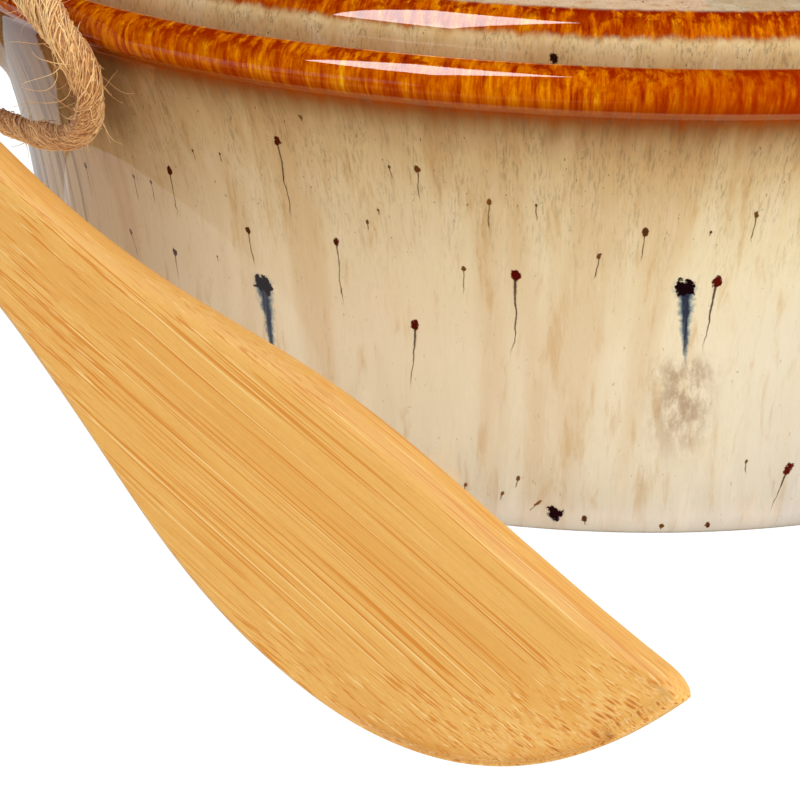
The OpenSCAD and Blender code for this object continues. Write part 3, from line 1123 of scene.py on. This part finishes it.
def make_twine():
    path = through(TWINE_ROUTE, 0.45)
    cord = Cord(path)
    low, high = (np.array(c) / MM for c in cad_box)
    rng = np.random.default_rng(11)

    # the core has the cord's shade colour: painted shade that shows dark in the gaps between the fibres
    twine = add_mesh("jute_twine", *cord.body(32), jute("jute_core", (150, 96, 48), (194, 134, 76)))
    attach(twine, "crock_body")
    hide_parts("twine")

    laid = surface_fibres(cord, 750, rng) + surface_fibres(cord, 1300, rng, 84, 172)
    spans = [(4, 200, 150, 4.0), (96, 160, 230, 3.6), (112, 136, 40, 9.0)]
    laid += stray_fibres(cord, spans, rng, low - 2, high + 2)
    fibres = add_mesh("jute_fibres", *together(laid), jute("jute_fibre", (210, 152, 86), (242, 194, 128)))
    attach(fibres, "crock_body")

    # the knot: an overhand turn drawn tight, with two short frayed tails
    t = np.linspace(0, 2 * pi, 150, endpoint=False)
    size = 1.12
    turns = np.stack([
        -size * 1.15 * np.sin(3 * t),
        size * (np.sin(t) + 2 * np.sin(2 * t)),
        size * (np.cos(t) - 2 * np.cos(2 * t)),
    ], 1) + KNOT_AT + [-0.6, 0, 0]
    # cut open out of sight at the back, so that it is a cord and not a ring
    knot_cord = Cord(np.roll(turns, -12, axis=0)[:-2], ([0, 100], [1.4, 1.4]))
    parts = [knot_cord.body(24)]
    parts += surface_fibres(knot_cord, 90, rng)
    tails = (
        [(-105.5, 1.5, 42), (-106.8, -1.5, 39.5), (-107.3, -4, 36), (-106.6, -6, 31.5), (-105.6, -6.6, 28)],
        [(-105.5, 4.5, 42.5), (-107, 7.5, 40), (-107.6, 9.5, 36.5), (-107, 10.5, 33), (-106, 10.6, 30.5)],
    )
    for tail in tails:
        tail_cord = Cord(through(tail, 0.4), ([0, 10, 20], [1.35, 1.3, 1.45]))
        parts.append(tail_cord.body(24))
        parts += surface_fibres(tail_cord, 50, rng)
        end, ahead = tail_cord.path[-1], tail_cord.along[-1]
        for _ in range(34):
            p = end - ahead * rng.uniform(0.5, 2) + rng.normal(0, 0.45, 3)
            heading = ahead + rng.normal(0, 0.28, 3)
            length = rng.uniform(2.5, 6)
            line = [p]
            for _ in range(7):
                heading = heading + rng.normal(0, 0.09, 3)
                line.append(line[-1] + heading / np.linalg.norm(heading) * length / 7)
            width = rng.uniform(0.05, 0.1)
            parts.append(tube(np.array(line), lambda i, a, w=width: w * (1 - 0.09 * i), 4))
    knot = add_mesh("twine_knot_tied", *together(parts), jute("jute_knot", (184, 120, 64), (216, 158, 94)))
    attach(knot, "crock_body")
    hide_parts("twine_knot")


make_twine()
make_crock(glaze("crock_glaze_shader", CROCK_STOPS, False))
make_lid(glaze("lid_glaze_shader", LID_STOPS, True))
make_spreader(bamboo())


# ---- stage and light

TABLE_HALF = 2500.0
LIGHTS_AIM = (-20, -60, 45)
WORLD_LIGHT = 0.72


def add_floor():
    s = Shading("table")
    grain = s.noise(s.mm, 0.02, 2)
    s.colour = s.mix(grain, rgb(86, 86, 86), rgb(92, 92, 92))
    s.finish(0.7, Emission_Color=(1, 1, 1, 1), Emission_Strength=0.99)
    corners = [(x * TABLE_HALF, y * TABLE_HALF, 0) for x, y in ((-1, -1), (1, -1), (1, 1), (-1, 1))]
    floor = add_mesh("table_top", corners, [(0, 1, 2, 3)], s.material)
    floor.visible_glossy = False


def add_softbox(name, azimuth, elevation, distance, size, radiance):
    """A soft light; azimuth is clockwise from +Y, as the floor plan is read."""
    a, e = radians(azimuth), radians(elevation)
    towards = Vector((cos(e) * sin(a), cos(e) * cos(a), sin(e)))
    data = bpy.data.lights.new(name, "AREA")
    data.shape = "RECTANGLE"
    data.size, data.size_y = size
    data.energy = radiance * pi * size[0] * size[1]
    light = bpy.data.objects.new(name, data)
    place = Matrix.Translation(Vector(LIGHTS_AIM) * MM + towards * distance)
    light.matrix_world = place @ towards.to_track_quat("Z", "Y").to_matrix().to_4x4()
    SCENE.collection.objects.link(light)
    return light


def add_light():
    world = bpy.data.worlds.new("studio")
    SCENE.world = world
    world.use_nodes = True
    back = world.node_tree.nodes["Background"]
    back.inputs["Color"].default_value = (1, 1, 1, 1)
    back.inputs["Strength"].default_value = WORLD_LIGHT
    world.cycles_visibility.glossy = False
    # the strip that shows in the glaze, and the broad lights that only fill
    strip = add_softbox("strip_softbox", -130, 55, 1.1, (0.43, 0.80), 13.0)
    strip.visible_diffuse = False
    add_softbox("left_fill", -120, 50, 1.4, (1.1, 1.1), 0.4).visible_glossy = False
    add_softbox("front_fill", 128, 32, 1.5, (1.4, 1.2), 3.2).visible_glossy = False
    panel = add_softbox("side_panel", 80, 45, 1.4, (0.5, 0.9), 1.6)
    panel.visible_diffuse = False
    # the bright room beyond the table, seen in the glaze at the left
    for name, azimuth, width in (("left_room", -90, 3.0), ("back_room", -14, 1.2)):
        room = add_softbox(name, azimuth, -24, 1.3, (width, 0.42), 0.55)
        room.visible_diffuse = room.visible_camera = False
    SCENE.view_settings.view_transform = "Standard"


add_floor()
add_light()
